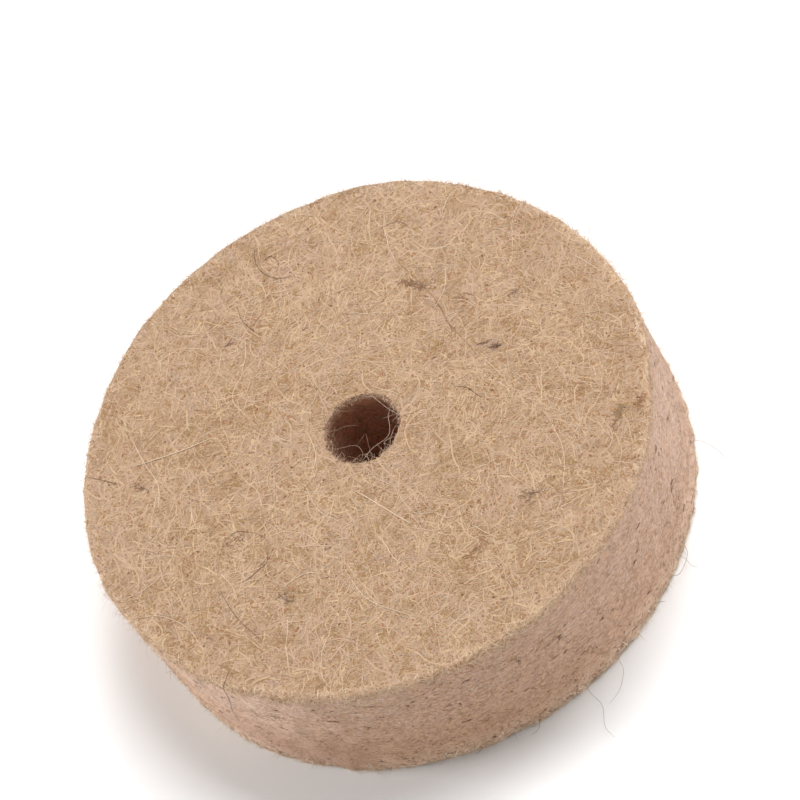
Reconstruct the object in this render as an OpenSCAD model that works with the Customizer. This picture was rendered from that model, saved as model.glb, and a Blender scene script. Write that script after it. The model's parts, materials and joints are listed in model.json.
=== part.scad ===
// Felt polishing wheel: a plain disc cut from one thick block of pressed wool felt, with a round
// hole punched through its middle for the arbor of a polishing machine.
// It lies on its back face, and its axis is Z. The origin is the middle of the hole, at half depth.

/* [Wheel] */
// Outside diameter of the working rim
wheel_diameter = 75; // [50:1:150]
// Thickness between the two flat faces
wheel_thickness = 20; // [10:1:40]
// Radius worn on the two outer edges, where the cut felt softens
edge_radius = 0.6; // [0.2:0.1:2]

/* [Arbor hole] */
// Diameter of the hole for the machine's arbor
bore_diameter = 10; // [6:0.5:20]

/* [Hidden] */
$fn = 180;
felt_colour = [0.77, 0.65, 0.53];
wheel_radius = wheel_diameter / 2;
bore_radius = bore_diameter / 2;
half_thickness = wheel_thickness / 2;

// The felt's section on one side of the axis: a rectangle whose two outer corners are rounded.
module felt_section() {
    flat_width = wheel_radius - edge_radius - bore_radius;
    rim_height = wheel_thickness - 2 * edge_radius;
    translate([bore_radius, -half_thickness])
        square([flat_width, wheel_thickness]);
    translate([bore_radius, -rim_height / 2])
        square([flat_width + edge_radius, rim_height]);
    for (side = [-1, 1])
        translate([wheel_radius - edge_radius, side * rim_height / 2])
            circle(r = edge_radius);
}

module felt_wheel() {
    color(felt_colour)
        rotate_extrude()
            felt_section();
}

felt_wheel();
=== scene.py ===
"""Felt polishing wheel: a thick disc of coarse pressed wool felt with a plain arbor hole.

The wheel lies flat with its axis along Z. Lengths in this script are millimetres unless a comment says
otherwise, and each mesh is scaled to metres as it is made. The felt is one closed body, covered in
separate fibres that are real geometry.
"""

import json
import math

import bpy
import numpy as np
from mathutils import Matrix, Vector


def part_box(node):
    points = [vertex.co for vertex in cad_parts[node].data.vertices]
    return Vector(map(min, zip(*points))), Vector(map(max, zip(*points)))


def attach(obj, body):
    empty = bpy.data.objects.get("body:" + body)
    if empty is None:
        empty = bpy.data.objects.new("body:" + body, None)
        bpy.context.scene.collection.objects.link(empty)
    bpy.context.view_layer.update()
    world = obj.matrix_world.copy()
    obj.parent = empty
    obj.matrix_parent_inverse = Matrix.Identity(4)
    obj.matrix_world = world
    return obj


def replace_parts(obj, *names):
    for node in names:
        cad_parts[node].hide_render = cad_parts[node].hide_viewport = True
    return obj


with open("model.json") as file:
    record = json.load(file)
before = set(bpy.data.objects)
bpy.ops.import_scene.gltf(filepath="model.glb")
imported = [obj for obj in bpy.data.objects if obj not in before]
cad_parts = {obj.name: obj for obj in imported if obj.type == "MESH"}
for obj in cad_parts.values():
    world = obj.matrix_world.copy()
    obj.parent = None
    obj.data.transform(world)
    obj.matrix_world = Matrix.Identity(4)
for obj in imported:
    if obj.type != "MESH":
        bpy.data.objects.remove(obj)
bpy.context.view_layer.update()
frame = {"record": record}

MM = 0.001
TAU = 2 * math.pi

# The wheel's own sizes come from the CAD box and its bore mount.
low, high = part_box("felt_wheel")
RADIUS = (high.x - low.x) / 2 / MM
HALF = (high.z - low.z) / 2 / MM
BORE = next(m for m in frame["record"]["mounts"] if m["name"] == "bore")["dims"]["r_mm"]
FRONT_EDGE = 0.7  # rounding of the front face's outer edge, where the felt is worn soft
BACK_EDGE = 0.15  # and of the back face's
LIP = 0.35  # rounding of the bore's two mouths

STAIN = 261  # where the rim is brownest, in degrees round the wheel
SUNK = 0.08  # how far the felt's ground lies below the wheel's nominal surface
FACE_ROOT = -0.05  # height at which the fuzz on the front face is rooted
RIM_ROOT = -0.1  # and on the rim
FLOOR_GAP = 0.01  # the ground, and the middle line of every fibre, stay this far above the floor

FACE_PATCHES = 71  # seed of the warm, cool and dark patches on the flat faces
RIM_PATCHES = 83  # and on the rim


# ---------------------------------------------------------------- colours


def srgb(red, green, blue):
    """A colour given as 0 to 255 display values, as linear values."""
    shares = [c / 255 for c in (red, green, blue)]
    return tuple(s / 12.92 if s <= 0.04045 else ((s + 0.055) / 1.055) ** 2.4 for s in shares)


# Tones of wool fibre, roughly from the palest to the darkest.
TONES = {
    "ivory": srgb(228, 208, 186),
    "cream": srgb(206, 182, 156),
    "straw": srgb(198, 168, 134),
    "sand": srgb(192, 162, 132),
    "rose": srgb(188, 156, 132),
    "fawn": srgb(180, 154, 134),
    "tan": srgb(178, 146, 116),
    "olive": srgb(156, 124, 86),
    "russet": srgb(176, 134, 104),
    "ginger": srgb(154, 112, 80),
    "chestnut": srgb(126, 90, 68),
    "taupe": srgb(134, 110, 94),
    "umber": srgb(92, 68, 54),
    "dark_hair": srgb(60, 48, 42),
}
TONE_NAMES = list(TONES)

# Colours of the ground, which shows between the fibres.
GROUND = {
    # Partly painted shade: the gap colours are darker than the wool to stand in for shade between the
    # fibres.
    "brown gap": srgb(146, 116, 88),
    "olive gap": srgb(150, 118, 78),
    "pale gap": srgb(170, 138, 110),
    "strand": srgb(190, 160, 130),
    # The rim is browner at the back partly as painted shade near the floor.
    "cut at the front": srgb(190, 160, 140),
    "cut at the back": srgb(184, 142, 110),
    "streak": srgb(156, 118, 92),
    "ruddy patch": srgb(190, 148, 114),
    "grain": srgb(142, 106, 82),
    "dot": srgb(108, 76, 56),
    # Painted light: the next two colours lift the rim's shade near the floor.
    "low on the rim": srgb(200, 168, 144),
    "back edge": srgb(228, 208, 186),
    "stain": srgb(152, 110, 84),
    # Painted bounce light: the bore's colours are redder to stand in for light that bounces inside the
    # hole.
    "pale bore": srgb(197, 138, 105),
    "dark bore": srgb(167, 112, 86),
}

# Shares of the tones in each kind of fibre.
UNDER_WARM = dict(straw=40, sand=14, tan=32, olive=14)
UNDER_COOL = dict(sand=32, rose=36, fawn=18, tan=14)
UNDER_DARK = dict(tan=42, olive=32, ginger=26)
TOP_WARM = dict(straw=28, sand=40, rose=8, tan=24)
TOP_COOL = dict(cream=2, sand=34, rose=34, fawn=18, tan=12)
TOP_DARK = dict(sand=12, tan=52, olive=36)
BROAD_MIX = dict(sand=40, rose=30, tan=30)
LOOSE_MIX = dict(cream=30, sand=40, fawn=30)
RIM_WARM = dict(tan=26, rose=6, russet=50, ginger=18)
RIM_COOL = dict(fawn=24, rose=38, sand=18, tan=20)
RIM_DARK = dict(tan=30, ginger=50, olive=20)
RIM_PALE_PAINTED_LIGHT = dict(cream=30, sand=40, rose=30)
RIM_SPECKS = dict(ginger=35, chestnut=50, umber=15)
RIM_SPOT_MIX = dict(ginger=15, chestnut=50, umber=35)
# Painted bounce light: the bore's fibres are redder than the faces'.
BORE_MIX = dict(rose=30, tan=35, ginger=35)
# Partly painted light: the edge's pale tones are the wool's own and also a painted highlight along the
# front edge.
EDGE_MIX = dict(cream=40, straw=16, sand=26, rose=18)
# Painted light: the back edge's fibres are the palest, lifting the shade where the wheel meets the floor.
BACK_EDGE_PAINTED_LIGHT_MIX = dict(ivory=60, cream=40)
FUZZ_MIX = dict(sand=30, rose=30, fawn=20, tan=20)
# Painted light: the front edge's fuzz is pale, partly to lift the shade under the rounded edge.
FRINGE_PAINTED_LIGHT_MIX = dict(cream=30, sand=40, rose=30)
# Painted light: the mouth's fuzz is paler, to brighten it in the hole's shade.
MOUTH_PAINTED_LIGHT_MIX = dict(cream=80, sand=20)
HAIR_MIX = dict(fawn=30, tan=30, taupe=40)
SCRAP_AND_PAINTED_SHADE_MIX = dict(tan=20, olive=45, ginger=30, chestnut=5)
TUFT_MIX = dict(ginger=25, taupe=55, umber=20)


# ---------------------------------------------------------------- the wheel's shape


def smooth_noise(points, cell, seed):
    """Values from 0 to 1 that change smoothly over about cell millimetres, at points (..., 3)."""
    size = 32  # lattice points each way, after which the noise repeats
    shift = 500.0  # keeps every place in the lattice positive
    lattice = np.random.default_rng(seed).random((size, size, size))
    at = np.asarray(points, float) / cell + shift
    corner = np.floor(at).astype(int)
    t = at - corner
    t = t * t * (3 - 2 * t)
    total = np.zeros(at.shape[:-1])
    for step in np.ndindex(2, 2, 2):
        weight = np.prod([t[..., a] if step[a] else 1 - t[..., a] for a in range(3)], axis=0)
        x, y, z = ((corner[..., a] + step[a]) % size for a in range(3))
        total += weight * lattice[x, y, z]
    return total


# The cut leans: its front edge stands back from the true circle on this side, and its back edge stands out.
LEAN = 0.28
LEAN_AT = 30  # degrees round the wheel

# Waves of the cut rim: height, how many go round the wheel, and where they start and how much they shift
# per millimetre of depth, both in radians.
WAVES = [
    (0.10, 3, 1.0, 0.0),
    (0.07, 5, 2.2, 0.0),
    (0.05, 29, 0.0, 0.4),
    (0.05, 47, 0.0, -0.7),
]

# Places where the cut bulges or falls short: angle round the wheel and width in degrees, and how far it
# stands out at the front and at the back.
BULGES = [
    (-40, 22, 0.35, 0.35),
    (98, 16, 0.7, 0.7),
    (158, 9, 0.2, 0.2),
    (232, 8, -0.25, -0.25),
    (28, 9, 0.15, 0.0),
    (11, 9, -0.5, 0.1),
]


def out_of_round(angle, z):
    """How far the cut rim stands out of the true circle."""
    stand = -LEAN * np.cos(angle - math.radians(LEAN_AT)) * z / HALF
    for size, waves, start, shift in WAVES:
        stand = stand + size * np.sin(waves * angle + start + shift * z)
    for middle, width, at_front, at_back in BULGES:
        apart = (np.degrees(angle) - middle + 180) % 360 - 180
        far = at_back + (at_front - at_back) * (z / HALF + 1) / 2
        stand = stand + far * np.exp(-((apart / width) ** 2))
    return stand


def spin(radial, up, angle):
    """Points given by their distance from the axis, height, and angle round the wheel."""
    return np.stack([radial * np.cos(angle), radial * np.sin(angle), up + 0 * angle], -1)


def swell(points):
    """How far the felt swells out of the plain wheel, or sinks, at points on it.

    Its outer back edge is the roughest."""
    outer = np.hypot(points[..., 0], points[..., 1]) > RADIUS - 1
    # 1 up to 0.6 mm from the back face, fading to 0 at 1.8 mm.
    near_back = np.clip((1.8 - HALF - points[..., 2]) / 1.2, 0, 1) * outer
    lumps = 0.12 * (smooth_noise(points, cell=4.0, seed=13) - 0.5)
    roughness = 0.34 * near_back * (smooth_noise(points, cell=1.1, seed=14) - 0.5)
    return lumps + roughness


# ---------------------------------------------------------------- places on the wheel
# Each of these returns points and the surface's outward normals there.


def on_flat(side, x, y, height):
    """Points height above a flat face.

    Past the outer edge they bend over the rim, and at the hole they bend into it."""
    edge = FRONT_EDGE if side > 0 else BACK_EDGE
    r = np.hypot(x, y)
    angle = np.arctan2(y, x)
    height = height + swell(spin(r, side * HALF, angle))
    flat_radius = RADIUS + out_of_round(angle, side * HALF) - edge
    past = r - flat_radius
    turn = np.clip(past / edge, 0, math.pi / 2)
    radial = np.minimum(r, flat_radius) + (edge + height) * np.sin(turn)
    z = HALF - edge + (edge + height) * np.cos(turn) - np.maximum(past - edge * math.pi / 2, 0)
    inside = r < BORE
    radial = np.where(inside, BORE - height, radial)
    z = np.where(inside, HALF - BORE + r, z)
    outward = np.where(inside, -1, np.sin(turn))
    upward = np.where(inside, 0, np.cos(turn))
    return spin(radial, side * z, angle), spin(outward, side * upward, angle)


def on_face(x, y, height):
    return on_flat(1, x, y, height)


def on_back(x, y, height):
    """The wheel lies on this face, so nothing goes below the floor."""
    points, normals = on_flat(-1, x, y, height)
    points[..., 2] = np.maximum(points[..., 2], -HALF + FLOOR_GAP)
    return points, normals


def on_rim(along, z, height):
    """Points height above the rim, along being the distance round it.

    Past an edge they bend over the face."""
    angle = along / RADIUS
    side = np.sign(z)
    height = height + swell(spin(RADIUS, z, angle))
    edge = np.where(z > 0, FRONT_EDGE, BACK_EDGE)
    past = np.abs(z) - (HALF - edge)
    turn = np.clip(past / edge, 0, math.pi / 2)
    inward = np.maximum(past - edge * math.pi / 2, 0)
    radial = RADIUS + out_of_round(angle, z) - edge + (edge + height) * np.cos(turn) - inward
    up = side * (np.minimum(np.abs(z), HALF - edge) + (edge + height) * np.sin(turn))
    normals = spin(np.cos(turn), side * np.sin(turn), angle)
    return spin(radial, np.maximum(up, -HALF + FLOOR_GAP), angle), normals


def in_bore(along, z, height):
    """Points height in from the bore's wall, along being the distance round it."""
    angle = along / BORE
    points = spin(BORE - height, np.clip(z, -HALF + FLOOR_GAP, HALF), angle)
    return points, spin(-1 + 0 * angle, 0, angle)


def laid(place, lines, height):
    """Flat lines (n, count, 2) laid on one of the surfaces above, at a height over it."""
    return place(lines[..., 0], lines[..., 1], height)


# ---------------------------------------------------------------- fibres


def random_lengths(rng, n, usual, spread, shortest, longest):
    """n lengths, most of them near the usual one, and a few much longer."""
    return np.clip(rng.lognormal(math.log(usual), spread, n), shortest, longest)


def wandering_lines(rng, x, y, heading, length, count, curl, crimp):
    """(n, count, 2) flat curved lines whose middles are at x, y. curl is in radians per mm."""
    n = len(x)
    step = (length / (count - 1))[:, None]
    s = np.arange(count - 1) * step
    drift = rng.normal(0, curl, (n, 1)) + rng.normal(0, curl * 0.6, (n, count - 1))
    wave = crimp * np.sin(TAU * s / rng.uniform(2.0, 5.0, (n, 1)) + rng.uniform(0, TAU, (n, 1)))
    angle = heading[:, None] + np.cumsum(drift * step, 1) + wave
    moves = np.stack([np.cos(angle), np.sin(angle)], -1) * step[..., None]
    line = np.concatenate([np.zeros((n, 1, 2)), np.cumsum(moves, 1)], 1)
    line -= line[:, count // 2][:, None]
    return line + np.stack([x, y], -1)[:, None]


def lying_height(rng, n, count, lowest, highest, dive, ripple):
    """(n, count) heights of fibres that lie in the mat, with both ends tucked under it by the dive."""
    s = np.linspace(-1, 1, count)
    middle = rng.uniform(lowest, highest, (n, 1))
    ripples = ripple * np.sin(s * rng.uniform(3, 9, (n, 1)) + rng.uniform(0, TAU, (n, 1)))
    return middle + ripples - dive * np.abs(s) ** 5


def taper(rng, n, count, thin, thick, tip=0.35):
    """(n, count) radii between thin and thick in the middle, and a tip's share of that at the ends."""
    s = np.linspace(-1, 1, count)
    return rng.uniform(thin, thick, (n, 1)) * (1 - (1 - tip) * np.abs(s) ** 4)


def choose_tones(rng, mix, n):
    """n tone numbers, drawn by the mix's shares."""
    names = [TONE_NAMES.index(t) for t in mix]
    weights = np.array(list(mix.values()), float)
    return rng.choice(names, n, p=weights / weights.sum())


def mottled_tones(rng, warm, cool, dark, middles, seed, warmer=0.0, darker=0.0):
    """A tone for each fibre: warm in some patches of the felt, cool in the others, dark in small blotches.

    warmer and darker raise the chance of a warm or a dark tone."""
    n = len(middles)
    warm_above = 0.75
    dark_above = 0.85
    patch = smooth_noise(middles, cell=5.0, seed=seed)
    patch = patch + 0.5 * smooth_noise(middles, cell=2.2, seed=seed + 1)
    is_warm = patch + warmer + rng.normal(0, 0.22, n) > warm_above
    tones = np.where(is_warm, choose_tones(rng, warm, n), choose_tones(rng, cool, n))
    blotch = smooth_noise(middles, cell=1.1, seed=seed + 2)
    blotch = blotch + 0.4 * smooth_noise(middles, cell=3.0, seed=seed + 3)
    is_dark = blotch + darker + rng.normal(0, 0.06, n) > dark_above
    return np.where(is_dark, choose_tones(rng, dark, n), tones)


def tubes(paths, normals, radii, flat, sides):
    """Closed tapered tubes along paths (n, count, 3). flat is a tube's thickness as a share of its width.

    Each tube has one of its corners on top, so a flat one is a low ridge. Returns the corners' places, the
    corner numbers of the four-sided faces along each tube, and those of its two end caps."""
    n, count, _ = paths.shape
    tiny = 1e-12  # keeps a division by zero away
    tangent = np.gradient(paths, axis=1)
    tangent /= np.linalg.norm(tangent, axis=-1, keepdims=True) + tiny
    across = np.cross(tangent, normals)
    across /= np.linalg.norm(across, axis=-1, keepdims=True) + tiny
    upward = np.cross(across, tangent) * flat
    turn = TAU / 4 + np.arange(sides) * TAU / sides
    ring = across[:, :, None] * np.cos(turn)[:, None] + upward[:, :, None] * np.sin(turn)[:, None]
    verts = (paths[:, :, None] + ring * radii[:, :, None, None]).reshape(-1, 3)
    verts[:, 2] = np.maximum(verts[:, 2], -HALF)
    first = (np.arange(n) * count * sides)[:, None, None]
    row = (np.arange(count - 1) * sides)[None, :, None]
    here = np.arange(sides)[None, None, :]
    after = (here + 1) % sides
    start = first + row
    corners = (start + here, start + after, start + sides + after, start + sides + here)
    quads = np.stack(np.broadcast_arrays(*corners), -1).reshape(n, -1, 4)
    head = first[:, 0] + np.arange(sides)[::-1]
    tail = first[:, 0] + (count - 1) * sides + np.arange(sides)
    return verts, quads, np.stack([head, tail], 1)


def new_mesh(name, verts, loops, sizes, smooth=True):
    """A mesh in metres.

    It takes the corners in mm, the corner numbers of all faces in a row, and each face's corner count."""
    mesh = bpy.data.meshes.new(name)
    mesh.vertices.add(len(verts))
    mesh.vertices.foreach_set("co", (verts * MM).astype(np.float32).ravel())
    mesh.loops.add(len(loops))
    mesh.loops.foreach_set("vertex_index", loops.astype(np.int32))
    mesh.polygons.add(len(sizes))
    starts = np.concatenate([[0], np.cumsum(sizes)[:-1]])
    mesh.polygons.foreach_set("loop_start", starts.astype(np.int32))
    mesh.polygons.foreach_set("use_smooth", np.full(len(sizes), smooth))
    return mesh


def add_piece(name, mesh):
    mesh.update(calc_edges=True)
    mesh.validate()
    piece = bpy.data.objects.new(name, mesh)
    bpy.context.scene.collection.objects.link(piece)
    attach(piece, "root")
    return piece


def fibre_piece(name, place, radii, tones, flat=1.0, sides=3):
    """One mesh of many fibres, each with its own tone. place is their points and the normals under them."""
    paths, normals = place
    verts, quads, caps = tubes(paths, normals, radii, flat, sides)
    n, per_fibre = quads.shape[:2]
    loops = np.concatenate([quads.reshape(-1), caps.reshape(-1)])
    sizes = np.concatenate([np.full(n * per_fibre, 4), np.full(n * 2, sides)])
    mesh = new_mesh(name, verts, loops, sizes, smooth=sides > 3)
    used = np.unique(tones)
    for tone in used:
        mesh.materials.append(fibre_material(TONE_NAMES[tone]))
    slots = np.searchsorted(used, tones)
    material = np.concatenate([np.repeat(slots, per_fibre), np.repeat(slots, 2)])
    mesh.polygons.foreach_set("material_index", material.astype(np.int32))
    return add_piece(name, mesh)


def random_on_face(rng, n, inner, outer):
    """n places x, y spread evenly over the ring between two radii."""
    r = np.sqrt(rng.uniform(inner**2, outer**2, n))
    angle = rng.uniform(0, TAU, n)
    return r * np.cos(angle), r * np.sin(angle)


def flat_spots(x, y):
    return np.stack([x, y, np.zeros(len(x))], -1)


def face_mat(side, place, seed, under, top, loose):
    """The mat on one flat face: broad pressed fibres, finer ones over them, and a few loose ones on top."""
    rng = np.random.default_rng(seed)
    # The broad pressed fibres, in two pieces.
    n = under // 2
    count = 6
    for part in (1, 2):
        x, y = random_on_face(rng, n, BORE + 0.1, RADIUS + 0.4)
        length = random_lengths(rng, n, usual=1.6, spread=0.45, shortest=0.5, longest=6)
        heading = rng.uniform(0, TAU, n)
        lines = wandering_lines(rng, x, y, heading, length, count, curl=0.22, crimp=0.18)
        height = lying_height(rng, n, count, lowest=-0.08, highest=-0.04, dive=0.03, ripple=0.01)
        radii = taper(rng, n, count, thin=0.07, thick=0.14)
        tones = mottled_tones(rng, UNDER_WARM, UNDER_COOL, UNDER_DARK, flat_spots(x, y), FACE_PATCHES)
        fibre_piece(f"{side}_pressed_{part}", laid(place, lines, height), radii, tones, flat=0.08)
    # The finer fibres, in three pieces. Every ninth one is broad.
    n = top // 3
    count = 10
    broad = slice(None, None, 9)
    for part in (1, 2, 3):
        x, y = random_on_face(rng, n, BORE + 0.3, RADIUS + 0.2)
        length = random_lengths(rng, n, usual=4.4, spread=0.45, shortest=1.5, longest=13)
        heading = rng.uniform(0, TAU, n)
        lines = wandering_lines(rng, x, y, heading, length, count, curl=0.2, crimp=0.18)
        height = lying_height(rng, n, count, lowest=-0.055, highest=-0.015, dive=0.05, ripple=0.004)
        radii = taper(rng, n, count, thin=0.026, thick=0.05)
        radii[broad] *= 2.2
        tones = mottled_tones(rng, TOP_WARM, TOP_COOL, TOP_DARK, flat_spots(x, y), FACE_PATCHES)
        tones[broad] = choose_tones(rng, BROAD_MIX, len(tones[broad]))
        fibre_piece(f"{side}_fibres_{part}", laid(place, lines, height), radii, tones, flat=0.08)
    # The loose fibres.
    n = loose
    count = 14
    x, y = random_on_face(rng, n, BORE + 0.5, RADIUS)
    length = random_lengths(rng, n, usual=6.0, spread=0.45, shortest=2, longest=16)
    heading = rng.uniform(0, TAU, n)
    lines = wandering_lines(rng, x, y, heading, length, count, curl=0.12, crimp=0.12)
    height = lying_height(rng, n, count, lowest=-0.04, highest=-0.01, dive=0.08, ripple=0.015)
    radii = taper(rng, n, count, thin=0.03, thick=0.05)
    tones = choose_tones(rng, LOOSE_MIX, n)
    fibre_piece(f"{side}_loose_fibres", laid(place, lines, height), radii, tones, flat=0.3, sides=5)


def rim_mat(seed, fibres, grain, specks):
    """The cut rim: short fine fibres, most of them lying round the wheel, with dark grain and specks."""
    rng = np.random.default_rng(seed)
    # The short fibres, in three pieces.
    n = fibres // 3
    count = 5
    for part in (1, 2, 3):
        along = rng.uniform(0, TAU * RADIUS, n)
        z = rng.uniform(-HALF, HALF - 0.1, n)
        heading = rng.normal(0, 0.5, n) + np.where(rng.random(n) < 0.3, rng.uniform(0, TAU, n), 0)
        length = random_lengths(rng, n, usual=0.75, spread=0.5, shortest=0.25, longest=3.0)
        lines = wandering_lines(rng, along, z, heading, length, count, curl=0.25, crimp=0.1)
        height = lying_height(rng, n, count, lowest=-0.085, highest=-0.06, dive=0.03, ripple=0.0)
        angle = along / RADIUS
        # The patches are drawn out round the wheel. The rim is warmer at its stain, and warmer towards the
        # back partly as painted shade near the floor.
        middles = spin(RADIUS + 0 * z, z * 2.6, angle)
        stain = np.exp(-(((np.degrees(angle) - STAIN) / 14) ** 2)) * (z < 1)
        warmer = 0.5 * stain - 0.04 * z - 0.15 * np.maximum(np.cos(angle), 0)
        tones = mottled_tones(rng, RIM_WARM, RIM_COOL, RIM_DARK, middles, RIM_PATCHES, warmer, darker=0.07)
        tones = np.where(rng.random(n) < 0.6 * stain, choose_tones(rng, RIM_DARK, n), tones)
        # Painted light: it is pale near the back face, lifting the shade by the floor, but less so at the
        # stain.
        near_back = rng.uniform(-HALF + 1.5, -HALF + 4.5, n) > z
        is_pale = near_back & (rng.random(n) > 0.4 + 0.6 * stain)
        tones = np.where(is_pale, choose_tones(rng, RIM_PALE_PAINTED_LIGHT, n), tones)
        radii = taper(rng, n, count, thin=0.03, thick=0.07)
        fibre_piece(f"rim_fibres_{part}", laid(on_rim, lines, height), radii, tones, flat=0.09)
    dark_bits(rng, "rim_grain", grain, usual=0.2, thick=0.085, mix=RIM_DARK)
    dark_bits(rng, "rim_specks", specks, usual=0.26, thick=0.11, mix=RIM_SPECKS)


def dark_bits(rng, name, n, usual, thick, mix):
    """Very short dark fibres on the rim, more of them towards the back."""
    count = 4
    along = rng.uniform(0, TAU * RADIUS, n)
    z = HALF - 0.1 - (2 * HALF - 0.2) * rng.random(n) ** 0.6
    length = random_lengths(rng, n, usual, spread=0.5, shortest=0.1, longest=1.2)
    heading = rng.normal(0, 0.35, n)
    lines = wandering_lines(rng, along, z, heading, length, count, curl=0.3, crimp=0.1)
    height = lying_height(rng, n, count, lowest=-0.06, highest=-0.045, dive=0.015, ripple=0.0)
    radii = taper(rng, n, count, thin=0.04, thick=thick, tip=0.5)
    fibre_piece(name, laid(on_rim, lines, height), radii, choose_tones(rng, mix, n), flat=0.12)


def edge_mat(side, place, seed, fibres):
    """Pale fibres that wrap the rounded outer edge of one face, and thin out down the rim. Their pale tones
    are partly the wool's own and partly painted light: a highlight along the front edge, and a lift of the
    floor's contact shade at the back edge.
    """
    rng = np.random.default_rng(seed)
    count = 7
    angle = rng.uniform(0, TAU, fibres)
    past = rng.triangular(-1.4, -0.2, 1.4, fibres)
    x = (RADIUS + past) * np.cos(angle)
    y = (RADIUS + past) * np.sin(angle)
    heading = np.arctan2(y, x) + rng.normal(0, 0.9, fibres)
    length = random_lengths(rng, fibres, usual=1.3, spread=0.4, shortest=0.6, longest=4)
    lines = wandering_lines(rng, x, y, heading, length, count, curl=0.2, crimp=0.15)
    height = lying_height(rng, fibres, count, lowest=-0.08, highest=-0.03, dive=0.05, ripple=0.01)
    radii = taper(rng, fibres, count, thin=0.035, thick=0.08)
    on_side = past + rng.normal(0, 0.15, fibres) > 0.3
    # On the rim, the back edge's fibres are painted pale against the floor's contact shade.
    side_mix = RIM_COOL if side == "front" else BACK_EDGE_PAINTED_LIGHT_MIX
    tones = np.where(on_side, choose_tones(rng, side_mix, fibres), choose_tones(rng, EDGE_MIX, fibres))
    fibre_piece(f"{side}_edge_fibres", laid(place, lines, height), radii, tones, flat=0.3)


def bore_mat(seed, fibres):
    """Thin fibres on the bore's wall, some of them standing off it."""
    rng = np.random.default_rng(seed)
    count = 6
    along = rng.uniform(0, TAU * BORE, fibres)
    z = rng.uniform(-HALF, HALF, fibres)
    length = rng.uniform(0.8, 3.0, fibres)
    heading = rng.uniform(0, TAU, fibres)
    lines = wandering_lines(rng, along, z, heading, length, count, curl=0.5, crimp=0.3)
    height = lying_height(rng, fibres, count, lowest=-0.06, highest=0.10, dive=0.25, ripple=0.03)
    radii = taper(rng, fibres, count, thin=0.02, thick=0.04)
    fibre_piece("bore_fibres", laid(in_bore, lines, height), radii, choose_tones(rng, BORE_MIX, fibres))


def face_scraps(seed, scraps):
    """Short brown scraps of fibre caught in the front mat, gathered in loose patches. They are partly the
    wool's own dark bits and partly painted shade of the gaps between strands.
    """
    rng = np.random.default_rng(seed)
    count = 4
    x, y = random_on_face(rng, scraps * 2, BORE + 0.5, RADIUS - 0.5)
    crowding = smooth_noise(flat_spots(x, y), cell=1.5, seed=seed) + rng.normal(0, 0.15, len(x))
    kept = np.argsort(crowding)[-scraps:]
    x = x[kept]
    y = y[kept]
    length = rng.uniform(0.15, 0.5, scraps)
    heading = rng.uniform(0, TAU, scraps)
    lines = wandering_lines(rng, x, y, heading, length, count, curl=0.3, crimp=0.1)
    height = lying_height(rng, scraps, count, lowest=-0.045, highest=-0.015, dive=0.02, ripple=0.0)
    radii = taper(rng, scraps, count, thin=0.09, thick=0.2, tip=0.6)
    tones = choose_tones(rng, SCRAP_AND_PAINTED_SHADE_MIX, scraps)
    fibre_piece("front_scraps", laid(on_face, lines, height), radii, tones, flat=0.1)


def rim_spots(seed, spots):
    """Dark spots on the cut rim, each a small bunch of short fibres that lie round the wheel."""
    rng = np.random.default_rng(seed)
    fibres = 5  # in each spot
    count = 5
    n = spots * fibres
    angle = np.repeat(rng.uniform(0, TAU, spots), fibres)
    z = np.repeat(rng.uniform(-HALF + 0.5, HALF - 0.3, spots), fibres)
    length = np.repeat(rng.uniform(0.4, 1.2, spots), fibres)
    along = angle * RADIUS + rng.normal(0, 0.2, n) * length
    z = z + rng.normal(0, 0.07, n)
    heading = rng.normal(0, 0.3, n)
    lines = wandering_lines(rng, along, z, heading, 0.6 * length, count, curl=0.3, crimp=0.1)
    height = lying_height(rng, n, count, lowest=-0.045, highest=-0.02, dive=0.03, ripple=0.0)
    radii = taper(rng, n, count, thin=0.06, thick=0.11)
    tones = choose_tones(rng, RIM_SPOT_MIX, n)
    fibre_piece("rim_spots", laid(on_rim, lines, height), radii, tones, flat=0.15)


def fuzz(name, seed, place, mix, usual, longest, thin, thick):
    """Loose fibre ends that stand out of the surface and bend over.

    place is their roots and the surface's normals there."""
    rng = np.random.default_rng(seed)
    count = 5
    roots, outward = place
    n = len(roots)
    length = random_lengths(rng, n, usual, spread=0.5, shortest=0.12, longest=longest)[:, None, None]
    sideways = np.cross(outward, rng.normal(0, 1, (n, 3)))
    sideways /= np.linalg.norm(sideways, axis=-1, keepdims=True)
    second = np.cross(outward, sideways)
    lean = rng.uniform(0.1, 1.1, (n, 1))
    bend = sideways * rng.uniform(-0.6, 0.9, (n, 1)) + second * rng.normal(0, 0.4, (n, 1)) - outward * 0.25
    s = np.linspace(0, 1, count)[None, :, None]
    paths = roots[:, None] + length * (s * (outward + sideways * lean)[:, None] + s**2 * bend[:, None])
    paths[..., 2] = np.maximum(paths[..., 2], -HALF + FLOOR_GAP)
    radii = rng.uniform(thin, thick, (n, 1)) * np.linspace(1, 0.45, count)
    normals = np.broadcast_to(second[:, None], paths.shape)
    fibre_piece(name, (paths, normals), radii, choose_tones(rng, mix, n), sides=4)


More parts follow.
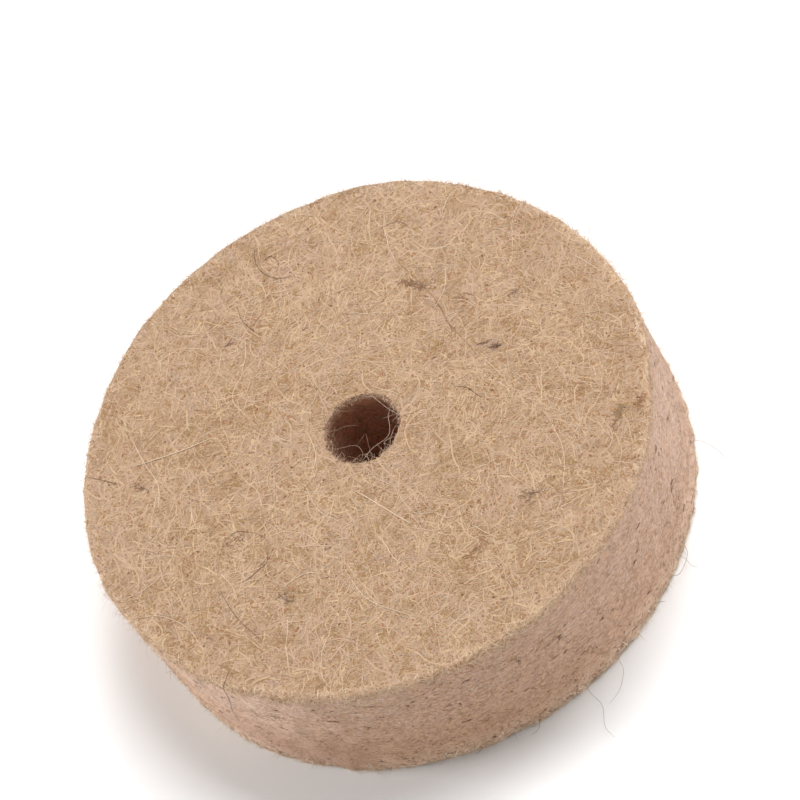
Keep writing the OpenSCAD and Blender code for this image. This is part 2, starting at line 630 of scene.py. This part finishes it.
def all_fuzz(seed):
    """Short fuzz all over the felt, thickest at the edges."""
    rng = np.random.default_rng(seed)

    def on_side(n, low_z, high_z):
        z = rng.uniform(low_z, high_z, n)
        along = rng.uniform(0, TAU * RADIUS, n)
        return on_rim(along, z, RIM_ROOT)

    def on_top(n, inner, outer):
        x, y = random_on_face(rng, n, inner, outer)
        return on_face(x, y, FACE_ROOT + 0 * x)

    place = on_side(3600, -HALF + 0.1, HALF - 0.1)
    fuzz("rim_fuzz", 56, place, FUZZ_MIX, usual=0.34, longest=1.4, thin=0.014, thick=0.028)
    # The front edge's fuzz is painted pale, partly to lift the shade under the rounded edge.
    place = on_top(4400, RADIUS - 0.6, RADIUS + 0.4)
    fuzz("front_edge_fuzz", 57, place, FRINGE_PAINTED_LIGHT_MIX, usual=0.55, longest=1.8, thin=0.011, thick=0.022)
    # The back edge's fuzz and tufts are painted pale against the floor's contact shade.
    place = on_side(2200, -HALF + 0.2, -HALF + 0.9)
    fuzz("back_edge_fuzz", 58, place, BACK_EDGE_PAINTED_LIGHT_MIX, usual=0.36, longest=1.6, thin=0.012, thick=0.026)
    place = on_side(1500, -HALF + 0.15, -HALF + 0.5)
    fuzz("back_edge_tufts", 61, place, BACK_EDGE_PAINTED_LIGHT_MIX, usual=0.24, longest=0.5, thin=0.02, thick=0.04)
    place = on_side(160, -HALF + 0.3, -HALF + 2.5)
    fuzz("back_edge_hairs", 62, place, HAIR_MIX, usual=0.7, longest=1.6, thin=0.018, thick=0.028)
    place = on_top(2000, BORE, RADIUS - 0.5)
    fuzz("front_fuzz", 59, place, FUZZ_MIX, usual=0.35, longest=1.5, thin=0.012, thick=0.022)
    # At the bore's mouth it leans in over the hole, and on the face beside it, it stands up less. Its cream
    # tones are painted light, brightening fuzz that lies in the hole's shade.
    points, normals = on_top(340, BORE - 0.9, BORE + 0.15)
    place = (points, normals * (1, 1, 0.4))
    fuzz("mouth_fuzz", 60, place, MOUTH_PAINTED_LIGHT_MIX, usual=0.5, longest=1.6, thin=0.016, thick=0.03)


# ---------------------------------------------------------------- fibres that stand out one by one


def smooth_line(points, count):
    """count points along a smooth curve through a few (a Catmull-Rom spline)."""
    points = np.array(points, float)
    ends = np.vstack([2 * points[0] - points[1], points, 2 * points[-1] - points[-2]])
    out = []
    for t in np.linspace(0, len(points) - 1, count):
        i = min(int(t), len(points) - 2)
        f = t - i
        a, b, c, d = ends[i : i + 4]
        square = (2 * a - 5 * b + 4 * c - d) * f**2
        cube = (3 * b - a - 3 * c + d) * f**3
        out.append(0.5 * (2 * b + (c - a) * f + square + cube))
    return np.array(out)


# Lying on the front face: tone, radius, and a few points (x, y) that the fibre passes through.
LYING_HAIRS = [
    (
        "taupe",
        0.03,
        [(-14.5, -22.5), (-15, -17), (-13.5, -15), (-10, -15.5), (-8.5, -17.5), (-9.5, -20.5), (-11, -22)],
    ),
    ("umber", 0.03, [(-9, -17), (-8.5, -19), (-9.5, -20.5), (-11, -22)]),
    ("umber", 0.032, [(-14.5, -16), (-13.5, -15), (-12, -15)]),
    ("umber", 0.03, [(-14, -23), (-12, -25.5), (-10, -27.5), (-6.5, -30)]),
    ("dark_hair", 0.03, [(11, 6), (12.5, 6), (13.5, 5.5), (15, 4.5)]),
    ("umber", 0.03, [(6, 19), (7.5, 17), (8.5, 15.5), (9.5, 14)]),
    ("ginger", 0.04, [(-0.5, 25), (3, 22), (6.5, 18.5), (8.5, 15.5), (11, 13), (13.5, 10.5)]),
    ("umber", 0.032, [(-36, -7.5), (-33.5, -8), (-31.5, -8.5)]),
    ("umber", 0.032, [(-19.5, 25), (-18.5, 26), (-17, 25), (-17, 23.5)]),
    ("umber", 0.032, [(-21, 28), (-20.5, 25.5), (-19, 23.5), (-16.5, 22.5), (-14, 23)]),
    ("umber", 0.032, [(-21.5, 18.5), (-20, 16), (-17.5, 14)]),
    ("umber", 0.045, [(-10, -34), (-10.5, -36.5), (-12.5, -40), (-15, -43), (-16.5, -46.5)]),
    ("umber", 0.032, [(-33, -20), (-31.5, -21), (-30.5, -21)]),
    ("taupe", 0.03, [(22, -20), (24, -22), (24.5, -25)]),
    ("taupe", 0.03, [(-4, 30), (-1.5, 31), (0.5, 30)]),
    ("cream", 0.07, [(-30.5, -6), (-26.5, -4.5), (-23, -3), (-20, -1.5)]),
    ("cream", 0.07, [(1, -9), (3, -10), (7.5, -12.5), (9.5, -13.5)]),
    ("cream", 0.05, [(-32, -1), (-29, -5), (-26, -8.5), (-25, -12)]),
    ("cream", 0.045, [(-25, -27.5), (-21, -27), (-17, -28.5), (-13.5, -32)]),
    ("cream", 0.04, [(12.5, 11.5), (15, 9.5), (18.5, 6.5)]),
    ("cream", 0.04, [(6.5, 24), (7, 20.5), (6, 17)]),
    ("cream", 0.045, [(2, -20), (6, -24), (12, -26)]),
    ("cream", 0.04, [(-6, -8), (-3, -12), (2, -14)]),
    ("cream", 0.04, [(24, 2), (27, -3), (28, -9)]),
    ("cream", 0.04, [(-12, 8), (-8, 12), (-7, 17)]),
]

# Darker tufts caught in the front face: x, y, length and direction of the patch in degrees, how many
# fibres it has, and their tones.
TUFTS = [
    (1.5, 21.5, 1.6, -5, 18, TUFT_MIX),
    (3.5, 21, 2.0, -35, 20, TUFT_MIX),
    (15.5, 12, 0.8, 20, 18, TUFT_MIX),
    (14, 12.5, 0.6, 20, 4, TUFT_MIX),
    (18.5, -17, 1.4, 60, 18, dict(ginger=60, olive=40)),
    (-28.5, -9, 1.2, -20, 11, TUFT_MIX),
    (35.5, 4, 1.0, 100, 16, dict(ginger=90, umber=10)),
    (33, 2, 1.6, 80, 22, dict(taupe=50, olive=50)),
    (-21, 12.5, 0.5, 60, 6, dict(ginger=80, umber=20)),
    (9.5, 19.5, 1.2, 0, 10, dict(tan=50, ginger=50)),
    (16.5, 20, 0.4, 40, 6, TUFT_MIX),
    (-13, -16, 1.1, 40, 6, dict(taupe=80, umber=10)),
    (24, -9, 1.5, 30, 16, dict(olive=50, taupe=50)),
    (-4.5, -24, 1.4, -40, 18, dict(olive=50, taupe=50)),
]

# Curls across the bore's mouth: tone, radius, and points (x, y, z).
MOUTH_CURLS = [
    ("fawn", 0.026, [(0, 5, 10), (2, 3.5, 10), (3.5, 2.5, 10), (4.5, 2, 10)]),
    ("fawn", 0.032, [(3, 4, 9.5), (3, 2, 9.5), (3.5, 0.5, 9.5), (3.5, -1, 9.5), (2, -3, 10), (1, -5, 10)]),
    ("taupe", 0.03, [(-5, -1, 10), (-4, -0.5, 10), (-3.5, 0, 9.5), (-2.5, 0.5, 9.5), (-1, 1, 9)]),
    (
        "taupe",
        0.034,
        [(-4, -3, 10), (-2.5, -3, 10), (-0.5, -2.5, 10), (0.5, -3, 10), (1, -4, 10), (0.5, -5, 10)],
    ),
    (
        "taupe",
        0.026,
        [(-1, -2, 8.5), (-0.5, -1, 8.5), (0, 0, 8.5), (0.5, -1, 8.5), (1.5, -3, 9), (2.5, -4.5, 9.5)],
    ),
    ("taupe", 0.03, [(-1.5, -5, 10), (-1.5, -4, 10), (-2, -3.5, 10)]),
    ("fawn", 0.03, [(5, -1, 10), (4, -1.5, 10), (3.5, -2, 10), (3.5, -2.5, 9.5), (3.5, -3.5, 10)]),
    ("fawn", 0.028, [(4.5, 0.5, 10), (4, -0.5, 9.5), (4, -1.5, 9.5), (4.5, -2.5, 10)]),
    ("taupe", 0.028, [(2.5, -4.5, 10), (2, -3.5, 10), (1, -3.5, 9.5), (0.5, -4, 10), (0, -5, 10)]),
]

# Long stray hairs: tone, radius, and points as (degrees round the wheel, distance from the axis, z).
STRAY_HAIRS = [
    ("taupe", 0.024, [(12, 37, -7), (12, 39, -6.5), (10, 41, -6.5), (7, 43, -7)]),
    ("taupe", 0.022, [(3, 37, -8), (3, 38, -8), (2, 39, -8)]),
    ("taupe", 0.022, [(1, 37, -9), (0, 38, -9), (-2, 38.5, -9)]),
    ("taupe", 0.02, [(-10, 37, -9), (-11, 39, -9), (-12, 40, -9), (-12, 41, -9)]),
    ("taupe", 0.028, [(-6, 37, -9), (-8, 38, -9), (-10, 39, -9), (-14, 39, -9), (-15, 38, -9)]),
    ("taupe", 0.026, [(-23, 37, -9), (-21, 38, -9), (-20, 39, -9)]),
    ("taupe", 0.022, [(-32, 37, -9), (-34, 38.5, -9), (-35, 40, -9), (-38, 41.5, -9), (-41, 42, -9)]),
    ("taupe", 0.022, [(-41, 37, -9), (-42, 39, -9), (-42, 41.5, -9), (-44, 44, -9), (-44, 46, -9)]),
    ("fawn", 0.03, [(76, 37, 9.5), (79, 38.5, 10), (82, 39, 11.5)]),
    ("fawn", 0.03, [(60, 37, 9.5), (61, 38.5, 10.5), (63, 39.5, 11.5)]),
    ("fawn", 0.03, [(48, 37, 9.5), (50, 38.5, 10), (53, 39, 11.5)]),
    ("cream", 0.028, [(243, 37, -6.5), (241, 38.5, -8), (240, 39.5, -9)]),
    ("fawn", 0.022, [(155, 37, 9.5), (156, 38.5, 10), (159, 39, 10.5)]),
    ("taupe", 0.022, [(-52, 37, -9), (-53, 38.5, -9.5), (-55, 39, -9.5)]),
    ("fawn", 0.022, [(120, 37, -3), (121, 39, -3.5), (124, 40, -4.5)]),
    ("taupe", 0.024, [(190, 37, 2), (188, 39, 1.5), (184, 40.5, 0.5)]),
    ("fawn", 0.022, [(285, 37, 3), (286, 38.5, 3), (288, 40, 2)]),
]


def single_fibres(name, fibres, paths, normals, flat=1.0):
    """The tone and radius of each fibre come from its row in fibres, its place from its row in paths."""
    s = np.linspace(-1, 1, paths.shape[1])
    radii = np.array([radius for _, radius, _ in fibres])[:, None] * (1 - 0.6 * np.abs(s) ** 4)
    tones = np.array([TONE_NAMES.index(tone) for tone, _, _ in fibres])
    normals = np.broadcast_to(np.array(normals, float), paths.shape)
    fibre_piece(name, (paths, normals), radii, tones, flat, sides=6)


def lying_hairs():
    """Hairs on the front face. Their ends are tucked into the mat, and they ripple a little."""
    count = 22
    lines = np.array([smooth_line(points, count) for _, _, points in LYING_HAIRS])
    at_end = np.abs(np.linspace(-1, 1, count)) > 0.93
    height = np.where(at_end, -0.08, 0.02) + 0.012 * np.sin(np.arange(count) * 1.3)
    points, normals = laid(on_face, lines, height[None])
    single_fibres("front_hairs", LYING_HAIRS, points, normals, flat=0.35)


def tufts(seed):
    """Small bunches of dark fibres on the front face."""
    rng = np.random.default_rng(seed)
    count = 6
    for number, (x, y, long, direction, n, mix) in enumerate(TUFTS):
        a = math.radians(direction)
        along = rng.normal(0, long * 0.5, n)
        over = rng.normal(0, long * 0.22, n)
        px = x + along * math.cos(a) - over * math.sin(a)
        py = y + along * math.sin(a) + over * math.cos(a)
        heading = a + rng.normal(0, 0.7, n)
        length = rng.uniform(0.5, 1.8, n)
        lines = wandering_lines(rng, px, py, heading, length, count, curl=0.4, crimp=0.2)
        height = lying_height(rng, n, count, lowest=0.0, highest=0.04, dive=0.06, ripple=0.03)
        radii = taper(rng, n, count, thin=0.032, thick=0.06)
        tones = choose_tones(rng, mix, n)
        fibre_piece(f"front_tuft_{number + 1}", laid(on_face, lines, height), radii, tones, flat=0.5)


def mouth_curls():
    count = 18
    paths = np.array([smooth_line(points, count) for _, _, points in MOUTH_CURLS])
    single_fibres("mouth_curls", MOUTH_CURLS, paths, normals=(0.2, 0.1, 1))


def stray_hairs():
    count = 14
    paths = []
    for _, _, points in STRAY_HAIRS:
        angle, radial, up = np.array(points, float).T
        paths.append(smooth_line(spin(radial, up, np.radians(angle)), count))
    single_fibres("stray_hairs", STRAY_HAIRS, np.array(paths), normals=(0.1, 0.2, 1))


# ---------------------------------------------------------------- the felt body


def felt_section():
    """The closed outline of the felt on one side of the axis.

    Each row is a point's distance from the axis, its height and its outward normal."""
    rows = []

    def line(start, end, steps, normal):
        for t in np.arange(steps) / steps:
            rows.append((start[0] + (end[0] - start[0]) * t, start[1] + (end[1] - start[1]) * t, *normal))

    def corner(middle, height, round_by, first, last, steps):
        for t in np.arange(steps) / steps:
            a = math.radians(first + (last - first) * t)
            out = math.cos(a)
            up = math.sin(a)
            rows.append((middle + round_by * out, height + round_by * up, out, up))

    deep = HALF - 2  # the bore's wall has closer rows between here and its mouths
    inward = (-1, 0)
    corner(BORE + LIP, -HALF + LIP, LIP, first=-90, last=-180, steps=3)
    line((BORE, -HALF + LIP), (BORE, -deep), 5, inward)
    line((BORE, -deep), (BORE, deep), 12, inward)
    line((BORE, deep), (BORE, HALF - LIP), 5, inward)
    corner(BORE + LIP, HALF - LIP, LIP, first=180, last=90, steps=3)
    line((BORE + LIP, HALF), (RADIUS - FRONT_EDGE, HALF), 56, normal=(0, 1))
    corner(RADIUS - FRONT_EDGE, HALF - FRONT_EDGE, FRONT_EDGE, first=90, last=0, steps=5)
    line((RADIUS, HALF - FRONT_EDGE), (RADIUS, -HALF + BACK_EDGE), 40, normal=(1, 0))
    corner(RADIUS - BACK_EDGE, -HALF + BACK_EDGE, BACK_EDGE, first=0, last=-90, steps=2)
    line((RADIUS - BACK_EDGE, -HALF), (BORE + LIP, -HALF), 42, normal=(0, -1))
    return np.array(rows)


def felt_body(around):
    """The pressed felt itself: one closed surface, slightly out of round, with a lumpy ground."""
    section = felt_section()
    rows = len(section)
    angle = (np.arange(around) * TAU / around)[None]
    radial, up, out_r, out_z = (section[:, k][:, None] for k in range(4))
    points = spin(radial, up, angle)
    normal = spin(out_r, out_z, angle)
    # 1 on the bore's wall up to 0.4 mm from its mouths, fading to 0 at 1.6 mm.
    near_mouth = np.clip((np.abs(up) - HALF + 1.6) / 1.2, 0, 1) * (radial < BORE + 0.2)
    lumps = (
        swell(points)
        + 0.05 * (smooth_noise(points, cell=0.9, seed=11) - 0.5)
        + 0.04 * (smooth_noise(points, cell=0.55, seed=12) - 0.5)
        + 0.5 * near_mouth * np.maximum(smooth_noise(points, cell=0.7, seed=15) - 0.45, 0)
    )
    points = points + normal * (lumps - SUNK)[..., None]
    # The outline's unevenness starts 25 mm from the axis, and is complete 12.5 mm further out.
    outer_share = np.clip((radial - 25) / 12.5, 0, 1) ** 2
    shift = outer_share * out_of_round(angle, points[..., 2])
    points[..., 0] += shift * np.cos(angle)
    points[..., 1] += shift * np.sin(angle)
    points[..., 2] = np.clip(points[..., 2], -HALF + FLOOR_GAP, None)
    here = np.arange(rows)[:, None] * around + np.arange(around)[None]
    beside = np.roll(here, -1, 1)
    quads = np.stack([here, beside, np.roll(beside, -1, 0), np.roll(here, -1, 0)], -1).reshape(-1)
    mesh = new_mesh("felt_body", points.reshape(-1, 3), quads, np.full(rows * around, 4))
    mesh.materials.append(felt_material())
    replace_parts(add_piece("felt_body", mesh), "felt_wheel")


# ---------------------------------------------------------------- materials


def fibre_material(tone):
    """A wool fibre of one tone."""
    name = f"wool_{tone}"
    if name in bpy.data.materials:
        return bpy.data.materials[name]
    material = bpy.data.materials.new(name)
    material.use_nodes = True
    shader = material.node_tree.nodes["Principled BSDF"]
    shader.inputs["Base Color"].default_value = (*TONES[tone], 1)
    shader.inputs["Roughness"].default_value = 0.7
    shader.inputs["Specular IOR Level"].default_value = 0.12
    shader.inputs["Sheen Weight"].default_value = 0.15
    return material


class Nodes:
    """Short calls for building a node tree."""

    def __init__(self, material):
        material.use_nodes = True
        self.tree = material.node_tree
        self.shader = self.tree.nodes["Principled BSDF"]

    def add(self, kind, inputs=None, **settings):
        node = self.tree.nodes.new(kind)
        for key, value in settings.items():
            setattr(node, key, value)
        for key, value in (inputs or {}).items():
            if isinstance(value, bpy.types.NodeSocket):
                self.tree.links.new(value, node.inputs[key])
            else:
                node.inputs[key].default_value = value
        return node

    def math(self, operation, a, b=0.0):
        return self.add("ShaderNodeMath", {0: a, 1: b}, operation=operation).outputs[0]

    def stretch(self, vector, scale, location=(0, 0, 0)):
        settings = {"Vector": vector, "Location": location, "Scale": scale}
        return self.add("ShaderNodeMapping", settings).outputs["Vector"]

    def noise(self, vector, scale, detail=2.0, distortion=0.0):
        settings = {"Vector": vector, "Scale": scale, "Detail": detail, "Distortion": distortion}
        return self.add("ShaderNodeTexNoise", settings).outputs["Fac"]

    def ramp(self, value, low, high, to_low=0.0, to_high=1.0):
        settings = {"Value": value, "From Min": low, "From Max": high, "To Min": to_low, "To Max": to_high}
        return self.add("ShaderNodeMapRange", settings).outputs["Result"]

    def mix(self, share, first, second):
        node = self.add("ShaderNodeMix", data_type="RGBA")
        for index, value in ((0, share), (6, first), (7, second)):
            if isinstance(value, bpy.types.NodeSocket):
                self.tree.links.new(value, node.inputs[index])
            else:
                node.inputs[index].default_value = value if index == 0 else (*value, 1)
        return node.outputs[2]

    def cover(self, colour, name, share, mask):
        """The colour with a share of one of the ground's colours laid over it where the mask is 1."""
        return self.mix(self.math("MULTIPLY", mask, share), colour, GROUND[name])


def felt_material():
    """The ground of the felt between its fibres: strands, mottling, specks, and the cut rim and bore. Some
    of its colours are painted light and shade, as marked below.
    """
    material = bpy.data.materials.new("pressed_felt")
    n = Nodes(material)
    place = n.add("ShaderNodeTexCoord").outputs["Object"]
    # In millimetres, squeezed along the axis, because the wool lies in layers parallel to the faces.
    mm = n.stretch(place, (1000, 1000, 1800))
    parts = n.add("ShaderNodeSeparateXYZ", {"Vector": place})
    x = parts.outputs["X"]
    z = parts.outputs["Z"]
    across = n.add("ShaderNodeCombineXYZ", {"X": x, "Y": parts.outputs["Y"]}).outputs[0]

    # Masks of the cut rim and of the bore's wall.
    radius = n.add("ShaderNodeVectorMath", {0: across}, operation="LENGTH").outputs["Value"]
    height = n.math("ABSOLUTE", z)
    side = n.ramp(radius, (RADIUS - 1.3) * MM, (RADIUS - 0.7) * MM)
    rim = n.math("MULTIPLY", side, n.ramp(z, (HALF - 0.6) * MM, (HALF - 1.3) * MM))
    wall = n.ramp(radius, (BORE + 0.4) * MM, (BORE + 0.2) * MM)
    bore = n.math("MULTIPLY", wall, n.ramp(height, (HALF - 0.1) * MM, (HALF - 1.2) * MM))

    # The faces: brown and olive gaps between the fibres, darker partly as the felt's own wool and partly as
    # painted shade between strands, with some paler strands.
    def strands(scale, width, shift):
        wave = n.noise(n.stretch(mm, (1, 1, 1), (shift, -shift, shift)), scale, 1.5, 0.6)
        return n.ramp(n.math("ABSOLUTE", n.math("SUBTRACT", wave, 0.5)), 0.0, width, 1.0, 0.0)

    mat = n.math("MAXIMUM", strands(1.1, 0.05, 3.0), n.math("MULTIPLY", strands(2.0, 0.06, 17.0), 0.7))
    warm = n.ramp(n.noise(mm, 0.22), 0.4, 0.62)
    blotch = n.ramp(n.noise(mm, 1.1), 0.35, 0.65)
    gaps_with_painted_shade = n.mix(blotch, n.mix(warm, GROUND["brown gap"], GROUND["olive gap"]), GROUND["pale gap"])
    colour = n.cover(gaps_with_painted_shade, "strand", 0.8, mat)

    # The cut rim: finer, greyer and pinker, and browner towards the back, partly its own tone and partly
    # painted shade near the floor, with streaks that run round it.
    streaks = n.ramp(n.noise(n.stretch(place, (450, 450, 2600)), 1.0), 0.35, 0.65)
    grain = n.ramp(n.noise(mm, 1.9, 3.0), 0.4, 0.62)
    ruddy = n.ramp(n.noise(mm, 0.9, 3.0), 0.45, 0.6)
    dots = n.ramp(n.noise(mm, 2.2, 1.0), 0.66, 0.72)
    patches = n.math("ADD", n.math("MULTIPLY", n.noise(mm, 0.15), 12 * MM), n.math("MULTIPLY", x, 0.1))
    browner_and_shaded = n.ramp(n.math("ADD", z, patches), 10 * MM, -2 * MM)
    cut = n.mix(browner_and_shaded, GROUND["cut at the front"], GROUND["cut at the back"])
    cut = n.cover(cut, "streak", 0.45, streaks)
    cut = n.cover(cut, "ruddy patch", 0.6, ruddy)
    cut = n.cover(cut, "grain", 0.65, grain)
    cut = n.cover(cut, "dot", 0.7, dots)

    # Painted light: it is paler low down and palest at the back edge, lifting the shade where the rim meets
    # the floor. It also has one brown stain.
    cut = n.cover(cut, "low on the rim", 0.7, n.ramp(z, (4.5 - HALF) * MM, (1.5 - HALF) * MM))
    cut = n.cover(cut, "back edge", 0.8, n.ramp(z, (0.9 - HALF) * MM, (0.2 - HALF) * MM))
    toward = (math.cos(math.radians(STAIN)), math.sin(math.radians(STAIN)), 0)
    along = n.add("ShaderNodeVectorMath", {0: across, 1: toward}, operation="DOT_PRODUCT").outputs["Value"]
    stained = n.math("MULTIPLY", n.ramp(along, 35.3 * MM, 37.2 * MM), n.ramp(z, 1 * MM, -4 * MM))
    cut = n.cover(cut, "stain", 0.7, stained)
    colour = n.mix(rim, colour, cut)

    # The bore's wall is brown and dark in places, redder than the faces: the red is painted bounce light of
    # the deep hole.
    deep = n.mix(grain, GROUND["pale bore"], GROUND["dark bore"])
    colour = n.mix(n.math("MULTIPLY", bore, 0.9), colour, deep)

    n.tree.links.new(colour, n.shader.inputs["Base Color"])
    n.tree.links.new(n.ramp(mat, 0.0, 1.0, 0.95, 0.85), n.shader.inputs["Roughness"])
    relief = n.mix(rim, mat, n.math("MULTIPLY", grain, -0.7))
    bump = n.add("ShaderNodeBump", {"Height": relief, "Strength": 0.4, "Distance": 0.05 * MM})
    n.tree.links.new(bump.outputs["Normal"], n.shader.inputs["Normal"])
    n.shader.inputs["Specular IOR Level"].default_value = 0.1
    n.shader.inputs["Sheen Weight"].default_value = 0.2
    n.shader.inputs["Sheen Roughness"].default_value = 0.6
    return material


# ---------------------------------------------------------------- stage, light and camera


def floor():
    reach = 1.5  # metres from the middle to each side
    z = -HALF * MM
    corners = [(-reach, -reach, z), (reach, -reach, z), (reach, reach, z), (-reach, reach, z)]
    mesh = bpy.data.meshes.new("floor")
    mesh.from_pydata(corners, [], [(0, 1, 2, 3)])
    material = bpy.data.materials.new("pale_floor")
    material.use_nodes = True
    shader = material.node_tree.nodes["Principled BSDF"]
    shader.inputs["Base Color"].default_value = (0.88, 0.88, 0.88, 1)
    shader.inputs["Roughness"].default_value = 0.6
    shader.inputs["Specular IOR Level"].default_value = 0.2
    mesh.materials.append(material)
    ground = bpy.data.objects.new("floor", mesh)
    bpy.context.scene.collection.objects.link(ground)


def softbox(name, azimuth, elevation, distance, size, power):
    """A square area light that faces the wheel, in metres and watts.

    Azimuth is measured from +X towards +Y, in degrees."""
    a = math.radians(azimuth)
    e = math.radians(elevation)
    light = bpy.data.lights.new(name, "AREA")
    light.shape = "SQUARE"
    light.size = size
    light.energy = power
    lamp = bpy.data.objects.new(name, light)
    lamp.location = Vector((math.cos(a) * math.cos(e), math.sin(a) * math.cos(e), math.sin(e))) * distance
    lamp.rotation_mode = "QUATERNION"
    lamp.rotation_quaternion = lamp.location.to_track_quat("Z", "Y")
    bpy.context.scene.collection.objects.link(lamp)


def studio():
    scene = bpy.context.scene
    scene.view_settings.view_transform = "Standard"
    world = bpy.data.worlds.new("studio")
    scene.world = world
    world.use_nodes = True
    background = world.node_tree.nodes["Background"]
    background.inputs["Color"].default_value = (1.0, 1.0, 1.0, 1)
    background.inputs["Strength"].default_value = 0.32
    softbox("key", azimuth=74, elevation=62, distance=1.0, size=0.55, power=10.45)
    softbox("right", azimuth=35, elevation=9, distance=1.0, size=0.3, power=5.0)
    softbox("left", azimuth=190, elevation=10, distance=0.7, size=0.25, power=5.5)
    softbox("fill", azimuth=-70, elevation=8, distance=1.0, size=0.25, power=2.45)


def camera():
    """A long lens that looks down on the wheel's front face and its near side, rolled clockwise."""
    azimuth = math.radians(-52.6)
    elevation = math.radians(52.8)
    roll = math.radians(-31.3)
    aim = Vector((-0.3, 10.1, 0.0)) * MM
    back_off = Vector((0, 0, 406)) * MM
    data = bpy.data.cameras.new("camera")
    data.lens = 142
    data.sensor_width = 36
    data.clip_start = 0.05  # metres
    turned = Matrix.Rotation(azimuth + TAU / 4, 4, "Z") @ Matrix.Rotation(TAU / 4 - elevation, 4, "X")
    rolled = turned @ Matrix.Rotation(roll, 4, "Z")
    eye = bpy.data.objects.new("camera", data)
    eye.matrix_world = Matrix.Translation(aim) @ rolled @ Matrix.Translation(back_off)
    bpy.context.scene.collection.objects.link(eye)
    bpy.context.scene.camera = eye


# ---------------------------------------------------------------- build


felt_body(around=540)
face_mat("front", on_face, seed=101, under=10000, top=10500, loose=220)
face_mat("back", on_back, seed=202, under=8000, top=7500, loose=150)
rim_mat(seed=303, fibres=18000, grain=9500, specks=2400)
edge_mat("front", on_face, seed=404, fibres=5000)
edge_mat("back", on_back, seed=405, fibres=4500)
bore_mat(seed=406, fibres=1300)
face_scraps(seed=407, scraps=6500)
tufts(seed=91)
rim_spots(seed=92, spots=120)
lying_hairs()
mouth_curls()
stray_hairs()
all_fuzz(seed=55)

floor()
studio()
camera()
